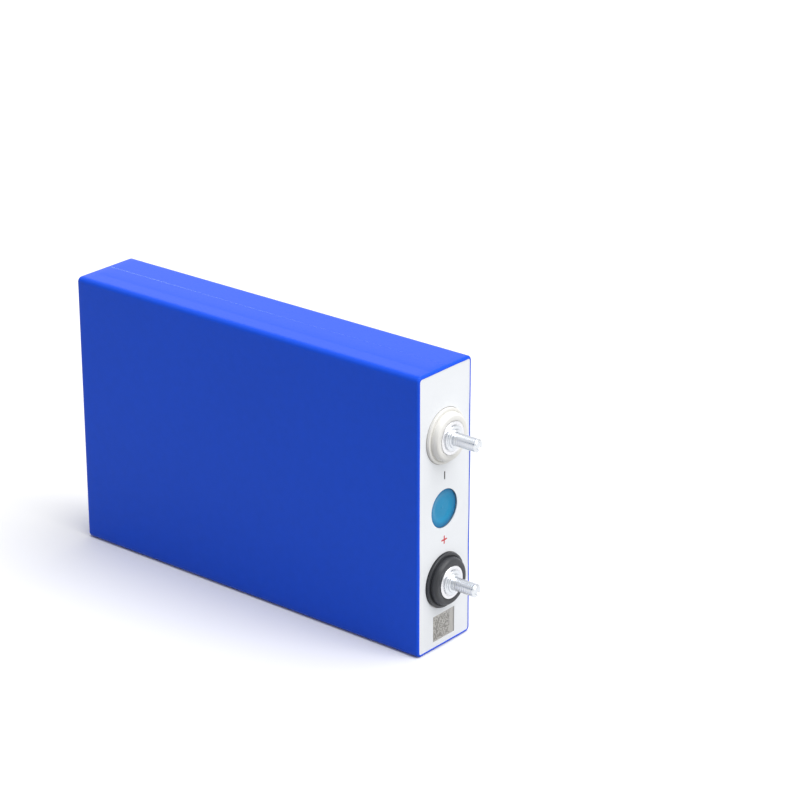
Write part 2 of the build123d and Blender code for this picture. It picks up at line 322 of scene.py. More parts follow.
MOTTLE = build_mottle()
TURNING = build_turning_marks()


def start_material(name):
    """A new node material with its Principled shader and a link to Object coordinates."""
    material = bpy.data.materials.new(name)
    material.use_nodes = True
    tree = material.node_tree
    shader = tree.nodes["Principled BSDF"]
    place = tree.nodes.new("ShaderNodeTexCoord").outputs["Object"]
    return material, tree, shader, place


def use_group(tree, group, place, **values):
    """Places a shader group and sets its named inputs."""
    node = tree.nodes.new("ShaderNodeGroup")
    node.node_tree = group
    tree.links.new(place, node.inputs["Vector"])
    for key, value in values.items():
        node.inputs[key.replace("_", " ")].default_value = value
    return node


def bump(tree, height, strength, distance, normal=None):
    """A bump node fed by a height."""
    node = tree.nodes.new("ShaderNodeBump")
    node.inputs["Strength"].default_value = strength
    node.inputs["Distance"].default_value = distance
    tree.links.new(height, node.inputs["Height"])
    if normal is not None:
        tree.links.new(normal, node.inputs["Normal"])
    return node


def mottled_material(name, colour, clouds, specks, amount, roughness, spread, depth):
    """A moulded, sheet or coated finish: mottled colour and roughness over a shallow bump."""
    material, tree, shader, place = start_material(name)
    surface = use_group(
        tree, MOTTLE, place, Colour=colour, Cloud_Scale=clouds, Speck_Scale=specks,
        Amount=amount, Roughness=roughness, Roughness_Spread=spread,
    )
    tree.links.new(surface.outputs["Colour"], shader.inputs["Base Color"])
    tree.links.new(surface.outputs["Roughness"], shader.inputs["Roughness"])
    fine = noise(tree, specks, 3, 0.6)
    tree.links.new(place, fine.inputs["Vector"])
    relief = bump(tree, fine.outputs["Fac"], 0.5, depth)
    tree.links.new(relief.outputs[0], shader.inputs["Normal"])
    return material, tree, shader


# ---------------------------------------------------------------- finishes
def film_finish():
    """Glossy blue wrapping film, slightly wavy, with faint drag lines along the cell."""
    material, tree, shader, place = start_material("blue wrapping film")
    surface = use_group(
        tree, MOTTLE, place, Colour=(0.014, 0.092, 0.80, 1), Cloud_Scale=14.0, Speck_Scale=300.0,
        Amount=0.10, Roughness=0.16, Roughness_Spread=0.10,
    )
    tree.links.new(surface.outputs["Colour"], shader.inputs["Base Color"])
    tree.links.new(surface.outputs["Roughness"], shader.inputs["Roughness"])
    waves = noise(tree, 16, 1.5, 0.4)
    stretch = tree.nodes.new("ShaderNodeMapping")
    stretch.inputs["Scale"].default_value = (0.35, 1.0, 1.0)
    tree.links.new(place, stretch.inputs["Vector"])
    tree.links.new(stretch.outputs[0], waves.inputs["Vector"])
    drawn = noise(tree, 260, 2, 0.5)
    long_lines = tree.nodes.new("ShaderNodeMapping")
    long_lines.inputs["Scale"].default_value = (0.02, 1.0, 1.0)
    tree.links.new(place, long_lines.inputs["Vector"])
    tree.links.new(long_lines.outputs[0], drawn.inputs["Vector"])
    broad = bump(tree, waves.outputs["Fac"], 0.35, 0.5 * MM)
    fine = bump(tree, drawn.outputs["Fac"], 0.12, 0.02 * MM, broad.outputs[0])
    tree.links.new(fine.outputs[0], shader.inputs["Normal"])
    shader.inputs["IOR"].default_value = 1.5
    shader.inputs["Specular IOR Level"].default_value = 0.13
    shader.inputs["Specular Tint"].default_value = (0.42, 0.72, 1.0, 1)
    return material


def sheet_finish():
    """Satin white lid sheet with a very fine tooth."""
    return mottled_material(
        "white lid sheet", (0.84, 0.86, 0.885, 1), 60.0, 1800.0, 0.05, 0.42, 0.12, 0.02 * MM
    )[0]


def seat_finish(name, colour, roughness, centre_z):
    """Moulded seat plastic with faint rings from its mould."""
    material, tree, shader, place = start_material(name)
    surface = use_group(
        tree, MOTTLE, place, Colour=colour, Cloud_Scale=160.0, Speck_Scale=2600.0,
        Amount=0.10, Roughness=roughness, Roughness_Spread=0.16,
    )
    tree.links.new(surface.outputs["Colour"], shader.inputs["Base Color"])
    tree.links.new(surface.outputs["Roughness"], shader.inputs["Roughness"])
    marks = use_group(tree, TURNING, place, Centre_Z=centre_z, Lines_Per_Metre=1800.0)
    rings = bump(tree, marks.outputs["Height"], 0.35, 0.05 * MM)
    grain = noise(tree, 2600, 2, 0.6)
    tree.links.new(place, grain.inputs["Vector"])
    relief = bump(tree, grain.outputs["Fac"], 0.3, 0.02 * MM, rings.outputs[0])
    tree.links.new(relief.outputs[0], shader.inputs["Normal"])
    return material


def metal_finish(name, colour, roughness, centre_z, line_depth, amount=0.12):
    """Turned bright metal with concentric tool lines."""
    material, tree, shader, place = start_material(name)
    surface = use_group(
        tree, MOTTLE, place, Colour=colour, Cloud_Scale=260.0, Speck_Scale=3200.0,
        Amount=amount, Roughness=roughness, Roughness_Spread=0.16,
    )
    tree.links.new(surface.outputs["Colour"], shader.inputs["Base Color"])
    tree.links.new(surface.outputs["Roughness"], shader.inputs["Roughness"])
    marks = use_group(tree, TURNING, place, Centre_Z=centre_z, Lines_Per_Metre=5200.0)
    relief = bump(tree, marks.outputs["Height"], 0.5, line_depth)
    tree.links.new(relief.outputs[0], shader.inputs["Normal"])
    shader.inputs["Metallic"].default_value = 1.0
    return material


def rolled_finish(name, colour, roughness):
    """Rolled sheet metal with lines along the cell's width."""
    material, tree, shader, place = start_material(name)
    surface = use_group(
        tree, MOTTLE, place, Colour=colour, Cloud_Scale=90.0, Speck_Scale=2400.0,
        Amount=0.14, Roughness=roughness, Roughness_Spread=0.2,
    )
    tree.links.new(surface.outputs["Colour"], shader.inputs["Base Color"])
    tree.links.new(surface.outputs["Roughness"], shader.inputs["Roughness"])
    lines = noise(tree, 1500, 3, 0.6)
    stretch = tree.nodes.new("ShaderNodeMapping")
    stretch.inputs["Scale"].default_value = (1.0, 1.0, 0.03)
    tree.links.new(place, stretch.inputs["Vector"])
    tree.links.new(stretch.outputs[0], lines.inputs["Vector"])
    relief = bump(tree, lines.outputs["Fac"], 0.4, 0.02 * MM)
    tree.links.new(relief.outputs[0], shader.inputs["Normal"])
    shader.inputs["Metallic"].default_value = 1.0
    return material


def vent_finish():
    """Thin glossy blue-green film over the vent, deeper in colour towards its rim."""
    material, tree, shader, place = start_material("vent film")
    marks = use_group(tree, TURNING, place, Centre_Z=middle("vent_film", 2), Lines_Per_Metre=900.0)
    depth = map_range(tree, marks.outputs["Radius"], 6.0 * MM, 8.9 * MM, 0.0, 1.0)
    colour = mix_colour(
        tree, depth.outputs[0], (0.016, 0.27, 0.50, 1), (0.006, 0.14, 0.33, 1)
    )
    surface = use_group(
        tree, MOTTLE, place, Colour=(1, 1, 1, 1), Cloud_Scale=220.0, Speck_Scale=2000.0,
        Amount=0.12, Roughness=0.2, Roughness_Spread=0.08,
    )
    varied = mix_colour(tree, 1.0, colour.outputs[2], surface.outputs["Colour"], "MULTIPLY")
    tree.links.new(varied.outputs[2], shader.inputs["Base Color"])
    tree.links.new(surface.outputs["Roughness"], shader.inputs["Roughness"])
    creases = noise(tree, 420, 2, 0.5)
    tree.links.new(place, creases.inputs["Vector"])
    relief = bump(tree, creases.outputs["Fac"], 0.25, 0.08 * MM)
    tree.links.new(relief.outputs[0], shader.inputs["Normal"])
    shader.inputs["Specular IOR Level"].default_value = 0.16
    return material


def ink_finish(name, colour):
    """Printed ink with a slightly uneven density."""
    return mottled_material(name, colour, 900.0, 5200.0, 0.35, 0.5, 0.2, 0.01 * MM)[0]


film_blue = film_finish()
sheet_white = sheet_finish()
lid_metal = rolled_finish("rolled lid aluminium", (0.40, 0.39, 0.37, 1), 0.42)
vent_blue = vent_finish()


# ---------------------------------------------------------------- wrapping film
def section_loop(inset, lift, side_steps=(14, 40), corner_steps=8):
    """Points (y, z) round the cell, drawn in by inset, with the seam raised by lift on top."""
    radius = max(CORNER - inset, 0.05 * MM)
    half_y = HALF_T - inset
    low_z = inset
    high_z = WIDTH - inset
    tall = high_z - low_z - 2 * radius
    loop = []
    # upper side, from back to front, with the seam's step and its long ramp
    back_y = half_y - radius
    front_y = -half_y + radius
    for k in range(side_steps[0]):
        t = k / side_steps[0]
        loop.append((back_y + (SEAM_Y + SEAM_STEP - back_y) * t, high_z))
    loop.append((SEAM_Y + SEAM_STEP, high_z))
    loop.append((SEAM_Y, high_z + lift))
    loop.append((SEAM_Y - SEAM_LEVEL, high_z + lift))
    for k in range(1, side_steps[0]):
        t = k / side_steps[0]
        y = SEAM_Y - SEAM_LEVEL + (SEAM_TAIL_Y - SEAM_Y) * t
        loop.append((y, high_z + lift * (1 - t ** 3)))
    loop.append((SEAM_TAIL_Y, high_z))
    for k in range(1, 6):
        loop.append((SEAM_TAIL_Y + (front_y - SEAM_TAIL_Y) * k / 6, high_z))

    def arc(centre_y, centre_z, start):
        for k in range(corner_steps + 1):
            angle = start + math.pi / 2 * k / corner_steps
            loop.append((centre_y + radius * math.cos(angle), centre_z + radius * math.sin(angle)))

    arc(front_y, high_z - radius, math.pi / 2)
    for k in range(1, side_steps[1]):
        loop.append((-half_y, high_z - radius - tall * k / side_steps[1]))
    arc(front_y, low_z + radius, math.pi)
    for k in range(1, side_steps[0]):
        loop.append((front_y + (back_y - front_y) * k / side_steps[0], low_z))
    arc(back_y, low_z + radius, 3 * math.pi / 2)
    for k in range(1, side_steps[1]):
        loop.append((half_y, low_z + radius + tall * k / side_steps[1]))
    arc(back_y, high_z - radius, 0.0)
    loop.pop()
    return loop


def lip_wave(y, z):
    """How far the lip curls: a slow unevenness that is larger on the back side."""
    slow = math.sin(z * 95 + 0.6) * 0.5 + math.sin(z * 213 + 2.1) * 0.3
    slow += math.sin(y * 260 + 1.0) * 0.25
    return slow * (1.35 if y > 0.6 * HALF_T else 0.5)


def build_film():
    """The film as one closed skin: base, sides, rolled lip and the inner side."""
    base_x = BASE_X + FILM
    outer = []
    for inset in (12.0 * MM, 5.0 * MM):
        outer.append((base_x, inset, 0.0))
    for k in range(9):
        angle = math.pi / 2 * k / 8
        x = base_x + BASE_FOLD * (1 - math.cos(angle))
        outer.append((x, BASE_FOLD * (1 - math.sin(angle)), 0.0))
    start_x = base_x + BASE_FOLD
    end_x = LIP_X - LIP_ROUND
    length_steps = 48
    for k in range(1, length_steps):
        outer.append((start_x + (end_x - start_x) * k / length_steps, 0.0, FILM))
    for k in range(9):
        angle = math.pi / 2 * k / 8
        x = end_x + LIP_ROUND * math.sin(angle)
        outer.append((x, LIP_ROUND * (1 - math.cos(angle)), FILM * (1 - k / 8)))
    # rolled edge of the lip, then back along the inside
    inner = [
        (LIP_X, LIP_ROUND + 0.1 * MM, 0.0),
        (LIP_X - 0.04 * MM, LIP_ROUND + LIP_OVERLAP, 0.0),
        (LIP_X - FILM, LIP_ROUND + LIP_OVERLAP, 0.0),
        (LIP_X - FILM - 0.3 * MM, FILM + 0.55 * MM, 0.0),
        (LIP_X - LIP_ROUND, FILM, 0.0),
        (base_x + BASE_FOLD, FILM, 0.0),
        (base_x + FILM, BASE_FOLD, 0.0),
        (base_x + FILM, 12.0 * MM, 0.0),
    ]
    points = []
    faces = []
    rings = []
    for index, (x, inset, lift) in enumerate(outer + inner):
        ring = []
        for y, z in section_loop(inset, lift):
            shift = 0.0
            rise = 0.0
            near_lip = max(0.0, 1 - abs(x - LIP_X) / (0.8 * MM))
            if near_lip > 0 and inset > 0.25 * MM and index < len(outer) + 3:
                shift = 0.22 * MM * lip_wave(y, z) * near_lip
                rise = 0.14 * MM * max(lip_wave(y, z), 0) * near_lip
            at_side = abs(y) > HALF_T - 3 * MM
            at_end = abs(z - MID_Z) > MID_Z - 3 * MM
            outward = Vector((0, math.copysign(at_side, y), math.copysign(at_end, z - MID_Z)))
            if outward.length > 0:
                outward.normalize()
            ring.append(len(points))
            points.append((x + rise, y + outward.y * shift, z + outward.z * shift))
        rings.append(ring)
    count = len(rings[0])
    for back, front in zip(rings, rings[1:]):
        for k in range(count):
            n = (k + 1) % count
            faces.append((back[k], back[n], front[n], front[k]))
    faces.append(tuple(reversed(rings[0])))
    faces.append(tuple(rings[-1]))
    return make_piece("film", points, faces, film_blue, 40)


film = build_film()


def layer(name, outline, x_low, x_high, material):
    """A thin flat layer across the cell with an outline of (y, z) points."""
    count = len(outline)
    points = [(x_low, y, z) for y, z in outline] + [(x_high, y, z) for y, z in outline]
    faces = [tuple(range(count)), tuple(reversed(range(count, 2 * count)))]
    for k in range(count):
        n = (k + 1) % count
        faces.append((k, k + count, n + count, n))
    return make_piece(name, points, faces, material, 30)


def build_base_fold():
    """Outer fold of the film over the base, with mitred ends and a slightly lifted free edge."""
    fold_z = MID_Z - BASE_FOLD
    root_y = -HALF_T + BASE_FOLD
    reach = 24.0 * MM
    columns = 24
    rows = 10
    points = []
    for side_x in (0.0, FILM):
        for i in range(rows + 1):
            t = i / rows
            half = fold_z - reach * t
            lifted = 0.18 * FILM if side_x and i == rows else 0.0
            for k in range(columns + 1):
                s = -1 + 2 * k / columns
                points.append((BASE_X + side_x + lifted, root_y + reach * t, MID_Z + half * s))
    wide = columns + 1
    layer_points = (rows + 1) * wide
    faces = []
    for i in range(rows):
        for k in range(columns):
            a = i * wide + k
            faces.append((a, a + wide, a + wide + 1, a + 1))
            b = a + layer_points
            faces.append((b, b + 1, b + wide + 1, b + wide))
    border = [k for k in range(wide)]
    border += [i * wide + columns for i in range(1, rows + 1)]
    border += [rows * wide + k for k in range(columns - 1, -1, -1)]
    border += [i * wide for i in range(rows - 1, 0, -1)]
    for a, b in zip(border, border[1:] + border[:1]):
        faces.append((a, b, b + layer_points, a + layer_points))
    return make_piece("film_base_fold", points, faces, film_blue, 30)


base_fold = build_base_fold()
finish_piece(film, "blue_film", "film_wrap")
finish_piece(base_fold, "blue_film")


def build_seam_highlight():
    """Pale strip on the step at the overlapping film's free edge: a painted highlight of light caught
    along the step, widest at the base and tapering to the lid.
    """
    steps = 60
    points = []
    for k in range(steps + 1):
        t = k / steps
        x = BASE_X + 3 * MM + (LIP_X - BASE_X - 5 * MM) * t
        half = (0.16 - 0.11 * t) * MM
        wander = 0.05 * MM * math.sin(t * 9)
        for y, z in ((-half, 0.0), (half, -0.06 * MM), (half, -0.12 * MM), (-half, -0.12 * MM)):
            points.append((x, 1.42 * MM + wander + y, WIDTH + FILM + 0.02 * MM + z))
    faces = [(3, 2, 1, 0), tuple(4 * steps + k for k in range(4))]
    for k in range(steps):
        a = 4 * k
        for i in range(4):
            j = (i + 1) % 4
            faces.append((a + i, a + j, a + 4 + j, a + 4 + i))
    edge = make_piece("film_seam_edge", points, faces, seam_highlight_paint, 30)
    finish_piece(edge, "blue_film")


# the pale colour of the seam strip is a painted highlight along the film's step, not the film's own
# colour
seam_highlight_paint = mottled_material(
    "painted seam highlight", (0.45, 0.68, 0.92, 1), 90.0, 700.0, 0.5, 0.3, 0.1, 0.01 * MM
)[0]
build_seam_highlight()


# ---------------------------------------------------------------- geometry node helpers
def start_tree(name, inputs):
    """A geometry tree with named inputs and one geometry output."""
    tree = bpy.data.node_groups.new(name, "GeometryNodeTree")
    for socket_name, kind, value in inputs:
        socket = tree.interface.new_socket(name=socket_name, in_out="INPUT", socket_type=kind)
        if value is not None:
            socket.default_value = value
    tree.interface.new_socket(name="Geometry", in_out="OUTPUT", socket_type="NodeSocketGeometry")
    return tree, tree.nodes.new("NodeGroupInput"), tree.nodes.new("NodeGroupOutput")


def grow(name, tree, material, **values):
    """Runs a geometry tree with its inputs set and keeps the result as a plain mesh object."""
    holder = bpy.data.objects.new(name + "_holder", bpy.data.meshes.new(name + "_holder"))
    bpy.context.scene.collection.objects.link(holder)
    modifier = holder.modifiers.new("shape", "NODES")
    modifier.node_group = tree
    for item in tree.interface.items_tree:
        if item.in_out == "INPUT" and item.name.replace(" ", "_") in values:
            modifier[item.identifier] = values[item.name.replace(" ", "_")]
    graph = bpy.context.evaluated_depsgraph_get()
    mesh = bpy.data.meshes.new_from_object(holder.evaluated_get(graph), depsgraph=graph)
    mesh.name = name
    if not mesh.materials:
        mesh.materials.append(material)
    holder.modifiers.remove(modifier)
    bpy.data.objects.remove(holder)
    piece = bpy.data.objects.new(name, mesh)
    bpy.context.scene.collection.objects.link(piece)
    return piece


def build_thread_tree():
    """A rolled thread: a cylinder whose wall follows a helical wave that fades at both ends."""
    tree, entry, leave = start_tree(
        "rolled thread",
        [
            ("Radius", "NodeSocketFloat", 2.95 * MM),
            ("Length", "NodeSocketFloat", 11 * MM),
            ("Pitch", "NodeSocketFloat", 1.0 * MM),
            ("Depth", "NodeSocketFloat", 0.2 * MM),
            ("Rows", "NodeSocketInt", 130),
            ("Place", "NodeSocketVector", None),
            ("Material", "NodeSocketMaterial", None),
        ],
    )
    links = tree.links
    sleeve = tree.nodes.new("GeometryNodeMeshCylinder")
    sleeve.inputs["Vertices"].default_value = 64
    links.new(entry.outputs["Rows"], sleeve.inputs["Side Segments"])
    links.new(entry.outputs["Radius"], sleeve.inputs["Radius"])
    links.new(entry.outputs["Length"], sleeve.inputs["Depth"])
    position = tree.nodes.new("GeometryNodeInputPosition")
    split = tree.nodes.new("ShaderNodeSeparateXYZ")
    links.new(position.outputs[0], split.inputs[0])
    turn = math_node(tree, "ARCTAN2", split.outputs["Y"], split.outputs["X"])
    turns = math_node(tree, "DIVIDE", turn.outputs[0], 2 * math.pi)
    rise = math_node(tree, "DIVIDE", split.outputs["Z"], entry.outputs["Pitch"])
    phase = math_node(tree, "SUBTRACT", rise.outputs[0], turns.outputs[0])
    angle = math_node(tree, "MULTIPLY", phase.outputs[0], 2 * math.pi)
    wave = math_node(tree, "COSINE", angle.outputs[0])
    groove = map_range(tree, wave.outputs[0], -0.4, 1.0, 0.0, 1.0)
    groove.interpolation_type = "SMOOTHSTEP"
    half = math_node(tree, "MULTIPLY", entry.outputs["Length"], 0.5)
    height = math_node(tree, "ABSOLUTE", split.outputs["Z"])
    room = math_node(tree, "SUBTRACT", half.outputs[0], height.outputs[0])
    fade = map_range(tree, room.outputs[0], 0.0, 0.9 * MM, 0.0, 1.0)
    cut = math_node(tree, "MULTIPLY", groove.outputs[0], fade.outputs[0])
    depth = math_node(tree, "MULTIPLY", cut.outputs[0], entry.outputs["Depth"])
    share = math_node(tree, "DIVIDE", depth.outputs[0], entry.outputs["Radius"])
    keep = math_node(tree, "SUBTRACT", 1.0, share.outputs[0])
    new_y = math_node(tree, "MULTIPLY", split.outputs["Y"], keep.outputs[0])
    new_x = math_node(tree, "MULTIPLY", split.outputs["X"], keep.outputs[0])
    joined = tree.nodes.new("ShaderNodeCombineXYZ")
    links.new(new_x.outputs[0], joined.inputs["X"])
    links.new(new_y.outputs[0], joined.inputs["Y"])
    links.new(split.outputs["Z"], joined.inputs["Z"])
    moved = tree.nodes.new("GeometryNodeSetPosition")
    links.new(sleeve.outputs["Mesh"], moved.inputs["Geometry"])
    links.new(joined.outputs[0], moved.inputs["Position"])
    smooth = tree.nodes.new("GeometryNodeSetShadeSmooth")
    links.new(moved.outputs[0], smooth.inputs["Geometry"])
    placed = tree.nodes.new("GeometryNodeTransform")
    placed.inputs["Rotation"].default_value = (0, math.pi / 2, 0)
    links.new(smooth.outputs[0], placed.inputs["Geometry"])
    links.new(entry.outputs["Place"], placed.inputs["Translation"])
    real = tree.nodes.new("GeometryNodeRealizeInstances")
    links.new(placed.outputs[0], real.inputs[0])
    dressed = tree.nodes.new("GeometryNodeSetMaterial")
    links.new(real.outputs[0], dressed.inputs["Geometry"])
    links.new(entry.outputs["Material"], dressed.inputs["Material"])
    links.new(dressed.outputs[0], leave.inputs[0])
    return tree


def build_etching_tree():
    """A patch of etched dots: small squares kept at random on a grid."""
    tree, entry, leave = start_tree(
        "etched dots",
        [
            ("Width", "NodeSocketFloat", 12 * MM),
            ("Height", "NodeSocketFloat", 10 * MM),
            ("Columns", "NodeSocketInt", 24),
            ("Rows", "NodeSocketInt", 20),
            ("Dot", "NodeSocketFloat", 0.4 * MM),
            ("Thickness", "NodeSocketFloat", 0.02 * MM),
            ("Share", "NodeSocketFloat", 0.5),
            ("Seed", "NodeSocketInt", 7),
            ("Place", "NodeSocketVector", None),
            ("Material", "NodeSocketMaterial", None),
        ],
    )
    links = tree.links
    grid = tree.nodes.new("GeometryNodeMeshGrid")
    links.new(entry.outputs["Width"], grid.inputs["Size X"])
    links.new(entry.outputs["Height"], grid.inputs["Size Y"])
    links.new(entry.outputs["Columns"], grid.inputs["Vertices X"])
    links.new(entry.outputs["Rows"], grid.inputs["Vertices Y"])
    chance = tree.nodes.new("FunctionNodeRandomValue")
    chance.data_type = "BOOLEAN"
    links.new(entry.outputs["Share"], chance.inputs["Probability"])
    links.new(entry.outputs["Seed"], chance.inputs["Seed"])
    cube = tree.nodes.new("GeometryNodeMeshCube")
    size = tree.nodes.new("ShaderNodeCombineXYZ")
    links.new(entry.outputs["Dot"], size.inputs["X"])
    links.new(entry.outputs["Dot"], size.inputs["Y"])
    links.new(entry.outputs["Thickness"], size.inputs["Z"])
    links.new(size.outputs[0], cube.inputs["Size"])
    dots = tree.nodes.new("GeometryNodeInstanceOnPoints")
    links.new(grid.outputs["Mesh"], dots.inputs["Points"])
    links.new(chance.outputs[3], dots.inputs["Selection"])
    links.new(cube.outputs["Mesh"], dots.inputs["Instance"])
    placed = tree.nodes.new("GeometryNodeTransform")
    placed.inputs["Rotation"].default_value = (math.pi / 2, 0, math.pi / 2)
    links.new(dots.outputs[0], placed.inputs["Geometry"])
    links.new(entry.outputs["Place"], placed.inputs["Translation"])
    real = tree.nodes.new("GeometryNodeRealizeInstances")
    links.new(placed.outputs[0], real.inputs[0])
    dressed = tree.nodes.new("GeometryNodeSetMaterial")
    links.new(real.outputs[0], dressed.inputs["Geometry"])
    links.new(entry.outputs["Material"], dressed.inputs["Material"])
    links.new(dressed.outputs[0], leave.inputs[0])
    return tree


THREAD = build_thread_tree()
ETCHING = build_etching_tree()


# ---------------------------------------------------------------- terminals
SEAT_COLOURS = {"negative": (0.78, 0.77, 0.735, 1), "positive": (0.022, 0.024, 0.029, 1)}
SEAT_ROUGHNESS = {"negative": 0.46, "positive": 0.40}
SEAT_SLOTS = {"negative": "ivory_plastic", "positive": "black_plastic"}


def build_terminal(polarity, z):
    """Stepped plastic seat, riveted cap ring and welded stud of one terminal."""
    plastic = seat_finish(f"{polarity} seat plastic", SEAT_COLOURS[polarity],
                          SEAT_ROUGHNESS[polarity], z)
    bright = metal_finish(f"{polarity} turned metal", (0.74, 0.74, 0.76, 1), 0.27, z, 0.008 * MM)
    stud_metal = metal_finish(f"{polarity} stud metal", (0.68, 0.70, 0.73, 1), 0.22, z, 0.003 * MM)
    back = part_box(f"{polarity}_seat")[0][0]
    cap_low, cap_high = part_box(f"{polarity}_cap")
    stud_low, stud_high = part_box(f"{polarity}_stud")
    flange = LIP_X + SEAT_FLANGE_HEIGHT
    seat_top = LIP_X + SEAT_HEIGHT
    seat = turned(
        f"{polarity}_stepped_seat",
        [
            (back, SEAT_BORE, 0),
            (back, SEAT_RADIUS, 0.15 * MM),
            (flange, SEAT_RADIUS, 0.45 * MM),
            (flange, 11.35 * MM, 0.12 * MM),
            (flange - 0.3 * MM, 11.2 * MM, 0.12 * MM),
            (flange - 0.3 * MM, 10.95 * MM, 0.12 * MM),
            (LIP_X + 2.6 * MM, 10.85 * MM, 0.4 * MM),
            (seat_top, 10.2 * MM, 1.1 * MM),
            (seat_top, 8.1 * MM, 0.25 * MM),
            (seat_top - 0.2 * MM, 7.75 * MM, 0.12 * MM),
            (seat_top - 0.3 * MM, SEAT_POCKET, 0),
            (cap_low[0], SEAT_POCKET, 0),
            (cap_low[0], SEAT_BORE, 0),
        ],
        z, plastic,
    )
    finish_piece(seat, SEAT_SLOTS[polarity], f"{polarity}_seat")
    stud_base = stud_low[0]
    cap = turned(
        f"{polarity}_cap_ring",
        [
            (cap_low[0], CAP_BORE, 0),
            (cap_low[0], CAP_RADIUS, 0.1 * MM),
            (cap_high[0], CAP_RADIUS, 0.5 * MM),
            (cap_high[0], 6.1 * MM, 0.12 * MM),
            (cap_high[0] - 0.18 * MM, 5.95 * MM, 0.08 * MM),
            (cap_high[0] - 0.18 * MM, CAP_RECESS, 0),
            (stud_base, CAP_RECESS, 0),
            (stud_base, CAP_BORE, 0),
        ],
        z, bright,
    )
    finish_piece(cap, "bright_aluminium", f"{polarity}_cap")
    foot = LIP_X + FOOT_HEIGHT
    boss = LIP_X + BOSS_HEIGHT
    tip = stud_high[0]
    core = STUD_RADIUS - 0.15 * MM
    stud = turned(
        f"{polarity}_stud_body",
        [
            (stud_base, 0, 0),
            (stud_base, FOOT_RADIUS, 0.05 * MM),
            (foot, FOOT_RADIUS, 0.45 * MM),
            (foot, 4.5 * MM, 0.2 * MM),
            (foot + 0.15 * MM, BOSS_RADIUS, 0.1 * MM),
            (boss, BOSS_RADIUS, 0.5 * MM),
            (boss, 3.35 * MM, 0.1 * MM),
            (boss - 0.15 * MM, core, 0.05 * MM),
            (tip - STUD_CHAMFER - 0.2 * MM, core, 0),
            (tip - STUD_CHAMFER, STUD_RADIUS, 0.1 * MM),
            (tip - 0.1 * MM, STUD_RADIUS - STUD_CHAMFER, 0.18 * MM),
            (tip, 2.05 * MM, 0.1 * MM),
            (tip, 1.75 * MM, 0.1 * MM),
            (tip - 0.45 * MM, 1.35 * MM, 0.2 * MM),
            (tip - 0.55 * MM, 0, 0),
        ],
        z, stud_metal,
    )
    finish_piece(stud, "bright_aluminium", f"{polarity}_stud")
    length = tip - STUD_CHAMFER - boss + 0.12 * MM
    thread = grow(
        f"{polarity}_stud_thread", THREAD, stud_metal, Radius=STUD_RADIUS, Length=length,
        Pitch=THREAD_PITCH, Depth=THREAD_DEPTH, Rows=140,
        Place=(boss - 0.1 * MM + length / 2, 0.0, z), Material=stud_metal,
    )
    finish_piece(thread, "bright_aluminium")


for polarity, z in TERMINALS.items():
    build_terminal(polarity, z)


# ---------------------------------------------------------------- vent film
def build_vent_film():
    """Round film that sinks from its rim to a flat floor with a small nub in the middle."""
    low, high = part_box("vent_film")
    rim = high[0]
    thick = 0.15 * MM
    radius = (high[1] - low[1]) / 2

    def face(x):
        floor = x - VENT_DEPTH
        steps = [(floor + 0.15 * MM, 0), (floor + 0.05 * MM, 0.35 * MM), (floor, VENT_NUB)]
        for k in range(1, 6):
            steps.append((floor, VENT_NUB + (VENT_FLAT - VENT_NUB) * k / 5))
        for k in range(1, 13):
            t = k / 12
            ease = t * t * (3 - 2 * t)
            steps.append((x - VENT_DEPTH * (1 - ease), VENT_FLAT + VENT_SLOPE * t))
        steps.append((x, VENT_RIM))
        return steps

    back = [(x, r, 0) for x, r in face(rim - thick)]
    front = [(x, r, 0) for x, r in reversed(face(rim))]
    corners = back + [(rim - thick, radius, 0), (rim, radius, 0)] + front
    vent = turned("vent_cover_film", corners, middle("vent_film", 2), vent_blue, 96, 50)
    finish_piece(vent, "vent_film", "vent_film")


build_vent_film()


# ---------------------------------------------------------------- printed marks and etched window
def rounded_bar(centre_y, centre_z, wide, tall, corner=0.12 * MM, steps=4):
    """Outline of a printed bar with slightly rounded corners."""
    outline = []
    for sign_y, sign_z, start in ((1, 1, 0), (-1, 1, 1), (-1, -1, 2), (1, -1, 3)):
        corner_y = centre_y + sign_y * (wide / 2 - corner)
        corner_z = centre_z + sign_z * (tall / 2 - corner)
        for k in range(steps + 1):
            angle = math.pi / 2 * (start + k / steps)
            y = corner_y + corner * math.cos(angle)
            outline.append((y, corner_z + corner * math.sin(angle)))
    return outline


INK = 0.03 * MM
minus_ink = ink_finish("dark printed mark", (0.02, 0.02, 0.024, 1))
plus_ink = ink_finish("red printed mark", (0.55, 0.006, 0.014, 1))


def build_plus(centre_z):
    """Outline of a plus with bars of one stroke width."""
    reach = 1.9 * MM
    half = 0.34 * MM
    outline = [
        (reach, half), (half, half), (half, reach),
        (-half, reach), (-half, half), (-reach, half),
        (-reach, -half), (-half, -half), (-half, -reach),
        (half, -reach), (half, -half), (reach, -half),
    ]
    return [(y, centre_z + z) for y, z in outline]


minus_z = TERMINALS["negative"] - MINUS_FROM_NEGATIVE
plus_z = TERMINALS["positive"] + PLUS_FROM_POSITIVE
minus = layer("minus_mark", rounded_bar(0, minus_z, MARK_STROKE, MARK_LENGTH),
              SHEET_X - 0.01 * MM, SHEET_X + INK, minus_ink)
plus = layer("plus_mark", build_plus(plus_z), SHEET_X - 0.01 * MM, SHEET_X + INK, plus_ink)
finish_piece(minus, "black_plastic")
finish_piece(plus, "white_sheet")

